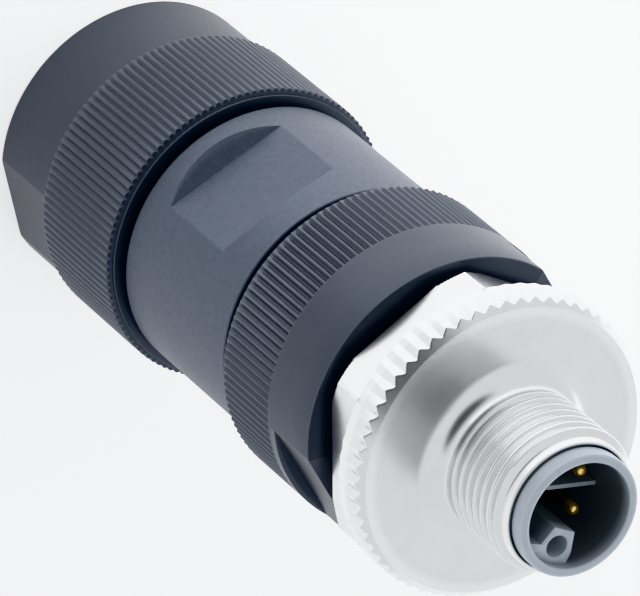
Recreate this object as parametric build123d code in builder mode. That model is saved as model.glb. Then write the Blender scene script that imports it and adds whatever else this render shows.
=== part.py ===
from build123d import *
import os
from math import cos, pi, radians, sin

# M12 connector for a round cable, standing on its gland nut. Millimetres, Z runs to the plug end.
os.makedirs("parts", exist_ok=True)

# Clearances
touch_gap = 0.05
thread_clear = 0.1
turn_clear = 0.22
rim_clear = 0.08
slide_clear = 0.3
cage_clear = 0.2
cut_over = 2.0

# Outside of the two knurled rings: all other radii of the body step down from it
grip_r = 12.4
knurl_depth = 0.35
knurl_count = 120
nut_knurl_azimuth = -90.5
ring_knurl_azimuth = -91.5

# Gland nut
nut_len = 18.7
nut_band_step = 0.5
nut_band_len = 7.5
nut_edge = 0.1
nut_flat_depth = 0.6
nut_flat_len = 6.9
nut_flat_azimuth = -30
nut_end_chamfer = 0.45
mouth_step = 1.1
mouth_len = 2.0
mouth_chamfer = 0.6
nut_cone_len = 4.2

# Housing with a threaded spigot at each end
housing_step = 1.0
housing_len = 15.4
housing_edge = 0.2
housing_flat_depth = 1.33
housing_flat_rear = 3.17
housing_flat_len = 8.05
housing_flat_azimuth = 73
nut_wall = 1.9
ring_wall = 2.4
front_spigot_len = 6.6
chamber_wall = 1.1
seal_seat_wall = 2.4
seal_stop_step = 1.4
seal_stop_len = 1.8
seal_stop_setback = 0.5
key_width = 1.6
key_height = 0.7
key_azimuth = 90

# Rings in the two gaps
gland_seal_len = 0.7
gland_seal_inset = 0.5
front_seal_len = 0.9
front_seal_inset = 0.5
seal_edge = 0.2

# Cable clamp
seal_len = 6.9
seal_wall = 2.95
seal_lip = 0.5
seal_lip_count = 3
cage_setback = 0.55
cage_wall = 1.4
cage_tip_step = 0.15
cage_taper_len = 3.4
cage_hoop_len = 2.5
cage_slot = 1.1
cage_finger_count = 12

# Union ring
ring_len = 13.45
ring_rear_chamfer = 0.7
ring_grip_len = 7.54
ring_front_chamfer = 0.12
ring_flat_depth = 1.0
ring_flat_len = 5.0
ring_flat_azimuth = -14.3
ring_neck_step = 1.1
ring_lip_step = 1.4
ring_lip_len = 3.2

# Coupling screw
collar_gap = 0.95
collar_len = 3.7
collar_flat_depth = 1.62
collar_inset = 0.02
collar_chamfer = 0.85
collar_azimuth = -11.3
flange_proud = 0.04
flange_tooth = 0.37
flange_len = 2.83
flange_teeth = 60
flange_azimuth = -91.8
flange_chamfer = 0.71
hub_len = 2.07
hub_fillet = 2.0
relief_len = 0.5
thread_r = 6.0
thread_root_r = 5.4
thread_len = 5.5
lead_len = 1.37
lead_chamfer = 0.15
screw_neck_clear = 0.2
screw_neck_len = 5.7
screw_bore_r = 5.1
screw_pocket_len = 4.4

# Retaining ring
clip_clear = 0.6
clip_thick = 0.7
clip_groove = 0.35
clip_setback = 0.2
clip_gap_deg = 50

# Terminal block
block_len = 12.2
block_flange_clear = 0.3
block_flange_len = 1.3
block_boss_len = 1.2
spoke_hole_r = 1.15

# Contact insert
insert_base_step = 1.3
insert_base_len = 4.3
shroud_wall = 0.6
shroud_rim_len = 1.35
shroud_proud = 1.43
shroud_round = 0.25
cavity_depth = 10.2
tower_recess = 0.9
tower_inner = 1.54
tower_inner_half = 0.98
tower_half = 1.5
tower_knee = 3.1
tower_key_half = 2.7
rib_thick = 0.35
rib_recess = 4.7

# Contacts
contact_pitch_r = 2.72
pe_offset = 0.23
contact_count = 5
contact_azimuth = 20
pin_r = 0.5
pin_recess = 3.6
pin_nose = 0.4
shank_r = 0.75
barrel_r = 1.45
barrel_len = 10.5
wire_hole_r = 0.95
wire_hole_len = 7.0
socket_r = 0.8
socket_hole_r = 0.87
socket_bore_r = 0.55
socket_bore_len = 6.0
socket_recess = 2.0

# Screw terminals
terminal_rear = 3.2
terminal_hole_r = 1.05
terminal_screw_r = 0.95
terminal_recess = 0.78
terminal_slot = 0.35
terminal_slot_depth = 0.6
guard_r = 0.75
guard_thick = 0.4
guard_lift = 0.65

# Heights along the axis, from the nut's rear face
gland_seal_rear = nut_len + touch_gap
housing_rear = gland_seal_rear + gland_seal_len + touch_gap
housing_front = housing_rear + housing_len
front_seal_rear = housing_front + touch_gap
ring_rear = front_seal_rear + front_seal_len + touch_gap
ring_front = ring_rear + ring_len
collar_rear = ring_front + collar_gap
flange_rear = collar_rear + collar_len
flange_front = flange_rear + flange_len
hub_front = flange_front + hub_len
thread_rear = hub_front + relief_len
thread_front = thread_rear + thread_len
lead_taper = thread_r - thread_root_r
screw_front = thread_front + lead_len
shroud_front = screw_front + shroud_proud

nut_step = mouth_len + nut_cone_len
spigot_rear = nut_step + slide_clear
stop_rear = housing_rear - seal_stop_len - seal_stop_setback
chamber_rear = stop_rear + seal_stop_len
seal_front = stop_rear - touch_gap
seal_rear = seal_front - seal_len
cage_front = seal_rear - slide_clear
cage_rear = mouth_len + cage_setback

spigot_front = housing_front + front_spigot_len
block_flange_rear = spigot_front + touch_gap
block_flange_front = block_flange_rear + block_flange_len
block_rear = block_flange_rear - block_len
block_front = block_flange_front + block_boss_len
ring_step = block_flange_front + touch_gap
ring_lip_rear = ring_front - ring_lip_len
screw_rear = collar_rear - screw_neck_len
screw_pocket_front = screw_rear + screw_pocket_len
clip_front = ring_lip_rear - clip_setback
clip_rear = clip_front - clip_thick

shroud_r = screw_bore_r - turn_clear
shroud_rim_r = screw_bore_r - rim_clear
shroud_rim_rear = shroud_front - shroud_rim_len
cavity_r = shroud_r - shroud_wall
cavity_floor = shroud_front - cavity_depth
tower_top = shroud_front - tower_recess
rib_top = shroud_front - rib_recess
pin_tip = shroud_front - pin_recess
insert_base_front = block_front + insert_base_len
barrel_front = block_rear + barrel_len
terminal_height = block_rear + terminal_rear
housing_r = grip_r - housing_step
rear_spigot_r = grip_r - nut_wall - thread_clear
front_spigot_r = grip_r - ring_wall - thread_clear
chamber_r = front_spigot_r - chamber_wall
seal_seat_r = rear_spigot_r - seal_seat_wall
seal_stop_r = seal_seat_r - seal_stop_step
nut_band_r = grip_r - nut_band_step
mouth_r = seal_seat_r - mouth_step
gland_seal_r = housing_r - gland_seal_inset
front_seal_r = housing_r - front_seal_inset
seal_r = seal_seat_r - touch_gap
seal_bore_r = seal_r - seal_wall
cage_r = seal_seat_r - cage_clear
cage_bore_r = cage_r - cage_wall
cage_tip_r = mouth_r - cage_tip_step
block_r = chamber_r - slide_clear
nut_bore_r = rear_spigot_r + thread_clear
ring_bore_r = front_spigot_r + thread_clear
ring_neck_r = ring_bore_r - ring_neck_step
ring_lip_r = ring_neck_r - ring_lip_step
block_flange_r = ring_bore_r - block_flange_clear
screw_neck_r = ring_lip_r - screw_neck_clear
clip_r = ring_neck_r - clip_clear
insert_base_r = screw_neck_r - insert_base_step
flange_tip_r = grip_r + flange_proud
flange_root_r = flange_tip_r - flange_tooth
collar_corner_r = flange_tip_r - collar_inset
collar_flat_r = collar_corner_r - collar_flat_depth
nut_flat_r = nut_band_r - nut_flat_depth
housing_flat_r = housing_r - housing_flat_depth
ring_flat_r = grip_r - ring_flat_depth
knurl_root_r = grip_r - knurl_depth
pe_pitch_r = contact_pitch_r + pe_offset
contact_step = 360 / contact_count
pin_arc = 360 - 2 * contact_step


def half_section(*corners):
    """Half section of a turned piece, from its (radius, height) corners."""
    with BuildSketch(Plane.XZ) as section:
        with BuildLine():
            Polyline(*corners, close=True)
        make_face()
    return section.sketch


def toothed_outline(height, tip_r, root_r, count, start_azimuth):
    """Zigzag outline at one height, with tips and roots taking turns round the circle."""
    half_step = pi / count
    start = radians(start_azimuth)
    radii = [tip_r, root_r] * count
    points = [(r * cos(start + k * half_step), r * sin(start + k * half_step)) for k, r in enumerate(radii)]
    with BuildSketch(Plane.XY.offset(height)) as outline:
        with BuildLine():
            Polyline(*points, close=True)
        make_face()
    return outline.sketch


def spoke_plane(azimuth, distance, height):
    """Plane that faces outwards at one azimuth, distance and height, with its x along the axis."""
    x = cos(radians(azimuth))
    y = sin(radians(azimuth))
    return Plane(origin=(distance * x, distance * y, height), x_dir=(0, 0, 1), z_dir=(x, y, 0))


def axis_plane(azimuth):
    """Plane through the axis, with its x pointing outwards at one azimuth and its y along the axis."""
    x = cos(radians(azimuth))
    y = sin(radians(azimuth))
    return Plane(origin=(0, 0, 0), x_dir=(x, y, 0), z_dir=(y, -x, 0))


def turned_plane(azimuth, height):
    """Level plane at one height, with its x pointing outwards at one azimuth."""
    x = cos(radians(azimuth))
    y = sin(radians(azimuth))
    return Plane(origin=(0, 0, height), x_dir=(x, y, 0), z_dir=(0, 0, 1))


def upright_plane(azimuth, distance, height):
    """Level plane whose origin is at one azimuth and distance from the axis."""
    x = cos(radians(azimuth))
    y = sin(radians(azimuth))
    return Plane(origin=(distance * x, distance * y, height), x_dir=(x, y, 0), z_dir=(0, 0, 1))


# Gland nut: smooth band with flats, knurled grip, mouth, cone for the cage and thread bore
with BuildPart() as gland_nut:
    nut_grip = toothed_outline(nut_band_len, grip_r, knurl_root_r, knurl_count, nut_knurl_azimuth)
    extrude(nut_grip, amount=nut_len - nut_band_len)
    revolve(
        half_section(
            (grip_r - nut_end_chamfer, nut_len),
            (grip_r + cut_over, nut_len - nut_end_chamfer - cut_over),
            (grip_r + cut_over, nut_len),
        ),
        axis=Axis.Z,
        mode=Mode.SUBTRACT,
    )
    revolve(
        half_section(
            (0, 0),
            (nut_band_r - nut_edge, 0),
            (nut_band_r, nut_edge),
            (nut_band_r, nut_band_len),
            (0, nut_band_len),
        ),
        axis=Axis.Z,
    )
    with BuildSketch():
        with PolarLocations(nut_flat_r, 2, start_angle=nut_flat_azimuth):
            Rectangle(cut_over, 2 * grip_r, align=(Align.MIN, Align.CENTER))
    extrude(amount=nut_flat_len, mode=Mode.SUBTRACT)
    revolve(
        half_section(
            (0, 0),
            (mouth_r + mouth_chamfer, 0),
            (mouth_r, mouth_chamfer),
            (mouth_r, mouth_len),
            (seal_seat_r + slide_clear, nut_step),
            (nut_bore_r, nut_step),
            (nut_bore_r, nut_len),
            (0, nut_len),
        ),
        axis=Axis.Z,
        mode=Mode.SUBTRACT,
    )
gland_nut.part.label = "gland_nut"
export_step(gland_nut.part, "parts/gland_nut.step")

# Clamp cage: a ring with slotted fingers that the nut's cone bends on the cable
with BuildPart() as clamp_cage:
    revolve(
        half_section(
            (cage_bore_r, cage_rear),
            (cage_tip_r, cage_rear),
            (cage_r, cage_rear + cage_taper_len),
            (cage_r, cage_front),
            (cage_bore_r, cage_front),
        ),
        axis=Axis.Z,
    )
    with BuildSketch(Plane.XY.offset(cage_rear)):
        with PolarLocations(0, cage_finger_count):
            Rectangle(cage_r + cut_over, cage_slot, align=(Align.MIN, Align.CENTER))
    extrude(amount=cage_front - cage_hoop_len - cage_rear, mode=Mode.SUBTRACT)
clamp_cage.part.label = "clamp_cage"
export_step(clamp_cage.part, "parts/clamp_cage.step")

# Cable seal: a rubber bush with lips in its bore
with BuildPart() as cable_seal:
    lip_step = seal_len / seal_lip_count
    revolve(
        half_section(
            (seal_bore_r, seal_rear),
            (seal_r, seal_rear),
            (seal_r, seal_front),
            (seal_bore_r, seal_front),
        ),
        axis=Axis.Z,
    )
    for lip in range(seal_lip_count):
        groove_middle = seal_rear + (lip + 0.5) * lip_step
        revolve(
            half_section(
                (seal_bore_r - seal_lip, groove_middle - lip_step / 4),
                (seal_bore_r + seal_lip, groove_middle),
                (seal_bore_r - seal_lip, groove_middle + lip_step / 4),
            ),
            axis=Axis.Z,
            mode=Mode.SUBTRACT,
        )
cable_seal.part.label = "cable_seal"
export_step(cable_seal.part, "parts/cable_seal.step")

# Gland seal: black ring on the rear spigot
with BuildPart() as gland_seal:
    revolve(
        half_section(
            (rear_spigot_r + touch_gap, gland_seal_rear),
            (gland_seal_r - seal_edge, gland_seal_rear),
            (gland_seal_r, gland_seal_rear + seal_edge),
            (gland_seal_r, gland_seal_rear + gland_seal_len - seal_edge),
            (gland_seal_r - seal_edge, gland_seal_rear + gland_seal_len),
            (rear_spigot_r + touch_gap, gland_seal_rear + gland_seal_len),
        ),
        axis=Axis.Z,
    )
gland_seal.part.label = "gland_seal"
export_step(gland_seal.part, "parts/gland_seal.step")

# Housing: turned sleeve with two spigots, wrench flats and a key slot for the terminal block
with BuildPart() as housing:
    revolve(
        half_section(
            (seal_seat_r, spigot_rear),
            (rear_spigot_r, spigot_rear),
            (rear_spigot_r, housing_rear),
            (housing_r - housing_edge, housing_rear),
            (housing_r, housing_rear + housing_edge),
            (housing_r, housing_front - housing_edge),
            (housing_r - housing_edge, housing_front),
            (front_spigot_r, housing_front),
            (front_spigot_r, spigot_front),
            (chamber_r, spigot_front),
            (chamber_r, chamber_rear),
            (seal_stop_r, chamber_rear),
            (seal_stop_r, stop_rear),
            (seal_seat_r, stop_rear),
        ),
        axis=Axis.Z,
    )
    flat_rear = housing_rear + housing_flat_rear
    flat_front = flat_rear + housing_flat_len
    for flat_azimuth in (housing_flat_azimuth, housing_flat_azimuth + 180):
        with BuildSketch(axis_plane(flat_azimuth)):
            with BuildLine():
                Polyline(
                    (housing_flat_r, flat_rear),
                    (housing_flat_r, flat_front),
                    (housing_r + cut_over, flat_front + housing_flat_depth + cut_over),
                    (housing_r + cut_over, flat_rear - housing_flat_depth - cut_over),
                    close=True,
                )
            make_face()
        extrude(amount=housing_r, both=True, mode=Mode.SUBTRACT)
    with BuildSketch(Plane.XY.offset(block_rear - cut_over)):
        with PolarLocations(0, 1, start_angle=key_azimuth):
            Rectangle(
                block_r + key_height + slide_clear,
                key_width + 2 * thread_clear,
                align=(Align.MIN, Align.CENTER),
            )
    extrude(amount=spigot_front - block_rear + cut_over, mode=Mode.SUBTRACT)
housing.part.label = "housing"
export_step(housing.part, "parts/housing.step")

# Front seal: black ring on the front spigot
with BuildPart() as front_seal:
    revolve(
        half_section(
            (front_spigot_r + touch_gap, front_seal_rear),
            (front_seal_r - seal_edge, front_seal_rear),
            (front_seal_r, front_seal_rear + seal_edge),
            (front_seal_r, front_seal_rear + front_seal_len - seal_edge),
            (front_seal_r - seal_edge, front_seal_rear + front_seal_len),
            (front_spigot_r + touch_gap, front_seal_rear + front_seal_len),
        ),
        axis=Axis.Z,
    )
front_seal.part.label = "front_seal"
export_step(front_seal.part, "parts/front_seal.step")

# Union ring: knurled grip, smooth front band with flats, thread bore and a lip for the coupling screw
with BuildPart() as union_ring:
    ring_grip_front = ring_rear + ring_grip_len
    ring_grip = toothed_outline(ring_rear, grip_r, knurl_root_r, knurl_count, ring_knurl_azimuth)
    extrude(ring_grip, amount=ring_grip_len)
    revolve(
        half_section(
            (grip_r - ring_rear_chamfer, ring_rear),
            (grip_r + cut_over, ring_rear + ring_rear_chamfer + cut_over),
            (grip_r + cut_over, ring_rear),
        ),
        axis=Axis.Z,
        mode=Mode.SUBTRACT,
    )
    revolve(
        half_section(
            (0, ring_grip_front),
            (grip_r, ring_grip_front),
            (grip_r, ring_front - ring_front_chamfer),
            (grip_r - ring_front_chamfer, ring_front),
            (0, ring_front),
        ),
        axis=Axis.Z,
    )
    with BuildSketch(Plane.XY.offset(ring_front - ring_flat_len)):
        with PolarLocations(ring_flat_r, 2, start_angle=ring_flat_azimuth):
            Rectangle(cut_over, 2 * grip_r, align=(Align.MIN, Align.CENTER))
    extrude(amount=ring_flat_len, mode=Mode.SUBTRACT)
    revolve(
        half_section(
            (0, ring_rear),
            (ring_bore_r, ring_rear),
            (ring_bore_r, ring_step),
            (ring_neck_r, ring_step),
            (ring_neck_r, ring_lip_rear),
            (ring_lip_r, ring_lip_rear),
            (ring_lip_r, ring_front),
            (0, ring_front),
        ),
        axis=Axis.Z,
        mode=Mode.SUBTRACT,
    )
union_ring.part.label = "union_ring"
export_step(union_ring.part, "parts/union_ring.step")

# Coupling screw: hexagon collar, toothed flange, hub with its fillet, thread at crest diameter, plain lead
with BuildPart() as coupling_screw:
    with BuildSketch(Plane.XY.offset(collar_rear)):
        RegularPolygon(collar_flat_r, 6, major_radius=False, rotation=collar_azimuth)
        Circle(collar_corner_r, mode=Mode.INTERSECT)
    extrude(amount=collar_len)
    revolve(
        half_section(
            (collar_corner_r - collar_chamfer, collar_rear),
            (collar_corner_r + cut_over, collar_rear + collar_chamfer + cut_over),
            (collar_corner_r + cut_over, collar_rear),
        ),
        axis=Axis.Z,
        mode=Mode.SUBTRACT,
    )
    teeth = toothed_outline(flange_rear, flange_tip_r, flange_root_r, flange_teeth, flange_azimuth)
    extrude(teeth, amount=flange_len)
    revolve(
        half_section(
            (flange_tip_r - flange_chamfer, flange_front),
            (flange_tip_r + cut_over, flange_front - flange_chamfer - cut_over),
            (flange_tip_r + cut_over, flange_front),
        ),
        axis=Axis.Z,
        mode=Mode.SUBTRACT,
    )
    with BuildSketch(Plane.XY.offset(flange_front)):
        Circle(thread_root_r)
    extrude(amount=hub_len)
    hub_foot = coupling_screw.edges().filter_by(GeomType.CIRCLE).group_by(Axis.Z)[-2].sort_by(SortBy.RADIUS)[0]
    fillet(hub_foot, hub_fillet)
    clip_groove_rear = clip_rear - touch_gap
    clip_groove_front = clip_front + touch_gap
    revolve(
        half_section(
            (0, screw_rear),
            (screw_neck_r, screw_rear),
            (screw_neck_r, clip_groove_rear),
            (screw_neck_r - clip_groove, clip_groove_rear),
            (screw_neck_r - clip_groove, clip_groove_front),
            (screw_neck_r, clip_groove_front),
            (screw_neck_r, collar_rear),
            (0, collar_rear),
        ),
        axis=Axis.Z,
    )
    revolve(
        half_section(
            (0, hub_front),
            (thread_root_r, hub_front),
            (thread_root_r, thread_rear - lead_taper / 2),
            (thread_r, thread_rear),
            (thread_r, thread_front),
            (thread_root_r, thread_front + lead_taper),
            (thread_root_r, screw_front - lead_chamfer),
            (thread_root_r - lead_chamfer, screw_front),
            (0, screw_front),
        ),
        axis=Axis.Z,
    )
    revolve(
        half_section(
            (0, screw_rear),
            (insert_base_r + slide_clear, screw_rear),
            (insert_base_r + slide_clear, screw_pocket_front),
            (screw_bore_r, screw_pocket_front),
            (screw_bore_r, screw_front),
            (0, screw_front),
        ),
        axis=Axis.Z,
        mode=Mode.SUBTRACT,
    )
coupling_screw.part.label = "coupling_screw"
export_step(coupling_screw.part, "parts/coupling_screw.step")

# Retaining ring: spring clip in the groove of the coupling screw
with BuildPart() as retaining_ring:
    revolve(
        half_section(
            (screw_neck_r - clip_groove + touch_gap, clip_rear),
            (clip_r, clip_rear),
            (clip_r, clip_front),
            (screw_neck_r - clip_groove + touch_gap, clip_front),
        ),
        axis=Axis.Z,
        revolution_arc=360 - clip_gap_deg,
    )
retaining_ring.part.label = "retaining_ring"
export_step(retaining_ring.part, "parts/retaining_ring.step")

# Terminal block: keyed carrier with a pocket and a screw passage for each contact
with BuildPart() as terminal_block:
    revolve(
        half_section(
            (0, block_rear),
            (block_r, block_rear),
            (block_r, block_flange_rear),
            (block_flange_r, block_flange_rear),
            (block_flange_r, block_flange_front),
            (ring_neck_r - slide_clear, block_flange_front),
            (ring_neck_r - slide_clear, block_front),
            (0, block_front),
        ),
        axis=Axis.Z,
    )
    with BuildSketch(Plane.XY.offset(block_rear)):
        with PolarLocations(0, 1, start_angle=key_azimuth):
            Rectangle(block_r + key_height, key_width, align=(Align.MIN, Align.CENTER))
    extrude(amount=block_flange_rear - block_rear)
    with BuildSketch(turned_plane(contact_azimuth, block_rear)):
        with PolarLocations(contact_pitch_r, contact_count - 1, contact_step, pin_arc, endpoint=True):
            Circle(barrel_r + touch_gap)
        with Locations((pe_pitch_r, 0)):
            Circle(barrel_r + touch_gap)
    extrude(amount=barrel_len + touch_gap, mode=Mode.SUBTRACT)
    with BuildSketch(turned_plane(contact_azimuth, block_rear)):
        with PolarLocations(contact_pitch_r, contact_count - 1, contact_step, pin_arc, endpoint=True):
            Circle(shank_r + touch_gap)
        with Locations((pe_pitch_r, 0)):
            Circle(socket_r + touch_gap)
    extrude(amount=block_front - block_rear, mode=Mode.SUBTRACT)
    for contact in range(contact_count):
        passage_azimuth = contact_azimuth + contact * contact_step
        with BuildSketch(spoke_plane(passage_azimuth, contact_pitch_r, terminal_height)):
            Circle(spoke_hole_r)
        extrude(amount=block_r, mode=Mode.SUBTRACT)
terminal_block.part.label = "terminal_block"
export_step(terminal_block.part, "parts/terminal_block.step")

# Contact insert: base, shroud with an open cavity, tower for the earth contact and two ribs
with BuildPart() as contact_insert:
    revolve(
        half_section(
            (0, block_front),
            (insert_base_r, block_front),
            (insert_base_r, insert_base_front),
            (shroud_r, insert_base_front),
            (shroud_r, shroud_rim_rear),
            (shroud_rim_r, shroud_rim_rear),
            (shroud_rim_r, shroud_front),
            (cavity_r, shroud_front),
            (cavity_r, cavity_floor),
            (0, cavity_floor),
        ),
        axis=Axis.Z,
    )
    fillet(contact_insert.edges().group_by(Axis.Z)[-1], shroud_round)
    with BuildSketch(turned_plane(contact_azimuth, cavity_floor)):
        with BuildLine():
            Polyline(
                (tower_inner, -tower_inner_half),
                (tower_inner, tower_inner_half),
                (tower_knee, tower_half),
                (shroud_r, tower_half),
                (shroud_r, -tower_key_half),
                (tower_knee, -tower_key_half),
                (tower_knee, -tower_half),
                close=True,
            )
        make_face()
        Circle(shroud_r - shroud_wall / 2, mode=Mode.INTERSECT)
    extrude(amount=tower_top - cavity_floor)
    rib_length = shroud_r - shroud_wall / 2
    for rib_azimuth in (contact_azimuth + 1.5 * contact_step, contact_azimuth - 1.5 * contact_step):
        with BuildSketch(turned_plane(rib_azimuth, cavity_floor)):
            Rectangle(rib_length, rib_thick, align=(Align.MIN, Align.CENTER))
        extrude(amount=rib_top - cavity_floor)
    with BuildSketch(turned_plane(contact_azimuth, block_front)):
        with PolarLocations(contact_pitch_r, contact_count - 1, contact_step, pin_arc, endpoint=True):
            Circle(shank_r + touch_gap)
    extrude(amount=cavity_floor - block_front, mode=Mode.SUBTRACT)
    with BuildSketch(upright_plane(contact_azimuth, pe_pitch_r, block_front)):
        Circle(socket_hole_r)
    extrude(amount=tower_top - block_front, mode=Mode.SUBTRACT)
contact_insert.part.label = "contact_insert"
export_step(contact_insert.part, "parts/contact_insert.step")

# Contact pins: barrel with a wire hole and a screw hole, shank, and a pin with a rounded nose
for number in range(1, contact_count):
    azimuth = contact_azimuth + number * contact_step
    with BuildPart() as contact_pin:
        with BuildSketch(upright_plane(azimuth, contact_pitch_r, block_rear)):
            Circle(barrel_r)
        extrude(amount=barrel_len)
        with BuildSketch(upright_plane(azimuth, contact_pitch_r, barrel_front)):
            Circle(shank_r)
        extrude(amount=cavity_floor - barrel_front)
        with BuildSketch(upright_plane(azimuth, contact_pitch_r, cavity_floor)):
            Circle(pin_r)
        extrude(amount=pin_tip - cavity_floor)
        fillet(contact_pin.edges().group_by(Axis.Z)[-1], pin_nose)
        with BuildSketch(upright_plane(azimuth, contact_pitch_r, block_rear)):
            Circle(wire_hole_r)
        extrude(amount=wire_hole_len, mode=Mode.SUBTRACT)
        with BuildSketch(spoke_plane(azimuth, contact_pitch_r, terminal_height)):
            Circle(terminal_hole_r)
        extrude(amount=barrel_r + touch_gap, mode=Mode.SUBTRACT)
    contact_pin.part.label = f"contact_pin_{number}"
    export_step(contact_pin.part, f"parts/contact_pin_{number}.step")

# Earth contact: the same barrel with a socket sleeve, set back in the tower
with BuildPart() as pe_socket:
    socket_front = tower_top - socket_recess
    with BuildSketch(upright_plane(contact_azimuth, pe_pitch_r, block_rear)):
        Circle(barrel_r)
    extrude(amount=barrel_len)
    with BuildSketch(upright_plane(contact_azimuth, pe_pitch_r, barrel_front)):
        Circle(socket_r)
    extrude(amount=socket_front - barrel_front)
    with BuildSketch(upright_plane(contact_azimuth, pe_pitch_r, socket_front - socket_bore_len)):
        Circle(socket_bore_r)
    extrude(amount=socket_bore_len, mode=Mode.SUBTRACT)
    with BuildSketch(upright_plane(contact_azimuth, pe_pitch_r, block_rear)):
        Circle(wire_hole_r)
    extrude(amount=wire_hole_len, mode=Mode.SUBTRACT)
    with BuildSketch(spoke_plane(contact_azimuth, pe_pitch_r, terminal_height)):
        Circle(terminal_hole_r)
    extrude(amount=barrel_r + touch_gap, mode=Mode.SUBTRACT)
pe_socket.part.label = "pe_socket"
export_step(pe_socket.part, "parts/pe_socket.step")

# Screw terminals: a slotted set screw over a pressure pad, one pair for each contact
guard_inner = contact_pitch_r + guard_lift
screw_inner = guard_inner + guard_thick + touch_gap
screw_outer = block_r - terminal_recess
for number in range(1, contact_count + 1):
    azimuth = contact_azimuth + number * contact_step
    with BuildPart() as wire_guard:
        with BuildSketch(spoke_plane(azimuth, guard_inner, terminal_height)):
            Circle(guard_r)
        extrude(amount=guard_thick)
    wire_guard.part.label = f"wire_guard_{number}"
    export_step(wire_guard.part, f"parts/wire_guard_{number}.step")
    with BuildPart() as terminal_screw:
        with BuildSketch(spoke_plane(azimuth, screw_inner, terminal_height)):
            Circle(terminal_screw_r)
        extrude(amount=screw_outer - screw_inner)
        with BuildSketch(spoke_plane(azimuth, screw_outer - terminal_slot_depth, terminal_height)):
            Rectangle(2 * terminal_screw_r, terminal_slot)
        extrude(amount=terminal_slot_depth, mode=Mode.SUBTRACT)
    terminal_screw.part.label = f"terminal_screw_{number}"
    export_step(terminal_screw.part, f"parts/terminal_screw_{number}.step")
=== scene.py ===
# %% [markdown]
# # M12 connector
# A straight plug for a round cable: a pressing nut, a grey housing, a knurled union ring and a nickel
# coupling screw around a grey shroud with gold contacts. Each visible piece is drawn here as a turned
# surface over its CAD solid, and its outer sizes are read from that solid.

# %% Load the frame
import math
import bmesh
import bpy
import numpy as np
from mathutils import Matrix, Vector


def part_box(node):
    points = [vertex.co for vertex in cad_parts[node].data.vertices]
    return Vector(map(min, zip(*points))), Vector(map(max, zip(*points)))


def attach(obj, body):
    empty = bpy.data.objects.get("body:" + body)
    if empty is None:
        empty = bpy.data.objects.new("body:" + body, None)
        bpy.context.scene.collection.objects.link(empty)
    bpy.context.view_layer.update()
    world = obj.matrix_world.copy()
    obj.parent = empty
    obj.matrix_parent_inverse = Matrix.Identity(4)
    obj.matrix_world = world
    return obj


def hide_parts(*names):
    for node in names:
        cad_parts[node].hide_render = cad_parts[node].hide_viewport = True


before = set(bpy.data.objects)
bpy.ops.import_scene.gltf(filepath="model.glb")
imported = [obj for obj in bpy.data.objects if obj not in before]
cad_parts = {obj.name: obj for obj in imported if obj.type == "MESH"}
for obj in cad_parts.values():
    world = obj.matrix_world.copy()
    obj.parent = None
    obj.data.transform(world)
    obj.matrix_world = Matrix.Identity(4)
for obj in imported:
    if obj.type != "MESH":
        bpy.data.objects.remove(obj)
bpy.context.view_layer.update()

MM = 0.001


def span(name):
    """Outer radius, rear height and front height of a CAD node about the connector's axis, in mm."""
    low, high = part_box(name)
    return (high[0] - low[0]) / 2 / MM, low[2] / MM, high[2] / MM


NUT_R, NUT_REAR, NUT_FRONT = span("gland_nut")
HOUSING_R, SPIGOT_REAR, SPIGOT_FRONT = span("housing")
SLEEVE_REAR = span("gland_seal")[2]
SLEEVE_FRONT = span("front_seal")[1]
RING_R, RING_REAR, RING_FRONT = span("union_ring")
SCREW_R, SCREW_REAR, SCREW_FRONT = span("coupling_screw")
INSERT_R, INSERT_REAR, INSERT_FRONT = span("contact_insert")
PIN_TIP = span("contact_pin_1")[2]
print("front of the shroud", round(INSERT_FRONT, 2))

# %% [markdown]
# ## Turned surfaces
# A lathe part is one line of radius and height, swept round the axis. Corners of that line are rounded
# first, because every moulded or turned edge on the real piece catches a thin line of light. Each piece
# could be its own modifier stack, but one grid shared by all of them keeps the seams and the shading alike,
# and knurls, flats and threads are then only a change of radius at some azimuths and heights.


# %% Lines
def rounded_line(corners, steps=4):
    """Line through (radius, height, rounding) corners in mm. Each corner becomes a quadratic curve that
    starts and ends one rounding away from it: (1-t)^2 * start + 2t(1-t) * corner + t^2 * end."""
    data = np.array(corners, float)
    here = data[:, None, :2]
    before = np.roll(data, 1, axis=0)[:, None, :2] - here
    after = np.roll(data, -1, axis=0)[:, None, :2] - here
    cut = data[:, 2, None, None]
    start = here + before / np.linalg.norm(before, axis=2, keepdims=True) * cut
    end = here + after / np.linalg.norm(after, axis=2, keepdims=True) * cut
    t = np.linspace(0, 1, steps)[None, :, None]
    curve = (1 - t) ** 2 * start + 2 * t * (1 - t) * here + t ** 2 * end
    line = curve.reshape(-1, 2)
    step = np.linalg.norm(line - np.roll(line, 1, axis=0), axis=1)
    return line[step > 1e-6]


def add_rows(line, spacing, closed=True):
    """The same line with extra points, so that neighbours are at most the spacing (mm) apart."""
    nxt = np.roll(line, -1, axis=0)
    if not closed:
        nxt[-1] = line[-1]
    counts = np.maximum(1, np.ceil(np.linalg.norm(nxt - line, axis=1) / spacing)).astype(int)
    owner = np.repeat(np.arange(len(line)), counts)
    first = np.repeat(np.cumsum(counts) - counts, counts)
    t = ((np.arange(counts.sum()) - first) / counts[owner])[:, None]
    return line[owner] * (1 - t) + nxt[owner] * t


def columns_of(count):
    """Evenly spaced azimuths round the circle, as one row."""
    return np.linspace(0, 2 * math.pi, count, endpoint=False)[None, :]


def angle_from(azimuth, centre_deg, period_deg):
    """Angle to the nearest of evenly spaced directions, in radians, from minus to plus half a period."""
    period = math.radians(period_deg)
    return np.mod(azimuth - math.radians(centre_deg) + period / 2, period) - period / 2


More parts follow.
